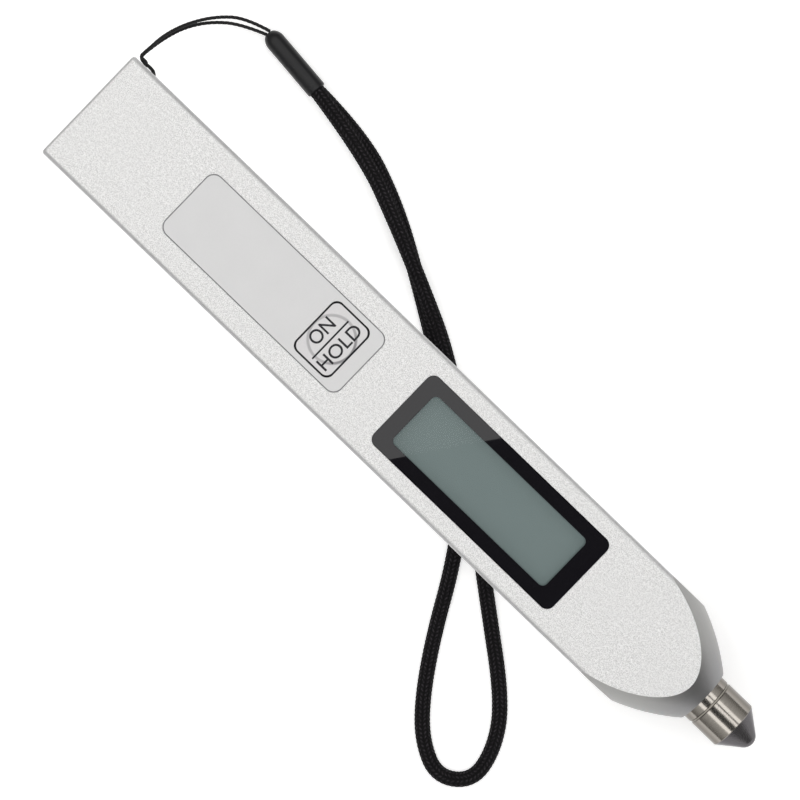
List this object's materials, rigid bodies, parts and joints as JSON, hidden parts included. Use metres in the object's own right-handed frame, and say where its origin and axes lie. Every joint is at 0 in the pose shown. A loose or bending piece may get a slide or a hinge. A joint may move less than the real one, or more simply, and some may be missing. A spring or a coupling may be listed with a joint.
{
  "type": "pen-type moisture meter",
  "caption": "Slim flat metal pen meter with a display window, one push key, a turned nose with a blunt contact probe, and a braided wrist strap.",
  "frame": {"origin": "middle of the meter's own box (without the lanyard and strap), on the case's centre line", "axes": "+X from the rear cap to the probe tip, +Z out of the display face, +Y to the side with the lanyard slots"},
  "size_m": [0.1514, 0.0724, 0.0166],
  "materials": {
    "case_aluminium": "fine blasted, clear anodised",
    "probe_steel": "turned and polished",
    "black_plastic": "satin",
    "grey_plastic": "moulded",
    "natural_plastic": "turned",
    "label_film": "satin printed film",
    "key_film": "satin printed cap",
    "window": "clear gloss",
    "window_print": "black print",
    "display_cell": "grey-green",
    "reflector_sheet": "diffuse",
    "foam": "foam",
    "connector_rubber": "silicone",
    "seal_rubber": "nitrile",
    "board": "solder mask",
    "chip": "moulded epoxy",
    "bright_metal": "nickel",
    "red_wire": "insulation",
    "black_wire": "insulation",
    "string": "twisted nylon",
    "braid": "flat braid"
  },
  "bodies": {
    "body": {"case_tube": "case_aluminium", "sensor_barrel": "probe_steel", "probe_tip": "probe_steel", "retaining_nut": "probe_steel", "electrode_nut": "probe_steel", "insulating_ring": "black_plastic", "display_holder": "black_plastic", "switch_base": "black_plastic", "contact_block": "black_plastic", "strap_sleeve": "black_plastic", "chassis": "grey_plastic", "insulating_sleeve": "natural_plastic", "label_overlay": "label_film", "window_lens": "window", "window_mask": "window_print", "display_glass": "display_cell", "display_reflector": "reflector_sheet", "window_gasket": "foam", "zebra_strip_left": "connector_rubber", "zebra_strip_right": "connector_rubber", "nose_o_ring": "seal_rubber", "circuit_board": "board", "processor_chip": "chip", "amplifier_chip": "chip", "crystal_can": "bright_metal", "tactile_dome": "bright_metal", "contact_spring_1": "bright_metal", "contact_spring_2": "bright_metal", "terminal_lug": "bright_metal", "board_screw_1": "bright_metal", "board_screw_2": "bright_metal", "board_screw_3": "bright_metal", "board_screw_4": "bright_metal", "case_screw_1": "bright_metal", "case_screw_2": "bright_metal", "battery_lead_red": "red_wire", "probe_lead_signal": "red_wire", "battery_lead_black": "black_wire", "probe_lead_ground": "black_wire", "lanyard_string": "string", "wrist_cord": "braid"},
    "key": {"key_pad": "key_film", "key_plunger": "key_film"},
    "battery_drawer": {"rear_cap": "case_aluminium", "battery_tray": "grey_plastic", "button_cell_1": "bright_metal", "button_cell_2": "bright_metal", "cell_link_strip": "bright_metal"}
  },
  "joints": [
    {"name": "key_press", "type": "slide", "parent": "body", "child": "key", "axis": [0, 0, -1], "range_m": [0, 0.00035], "stiffness_N_per_m": 600, "springref_m": -0.0005, "deforming": ["tactile_dome"]},
    {"name": "battery_slide", "type": "slide", "parent": "body", "child": "battery_drawer", "axis": [-1, 0, 0], "range_m": [0, 0.045]}
  ]
}
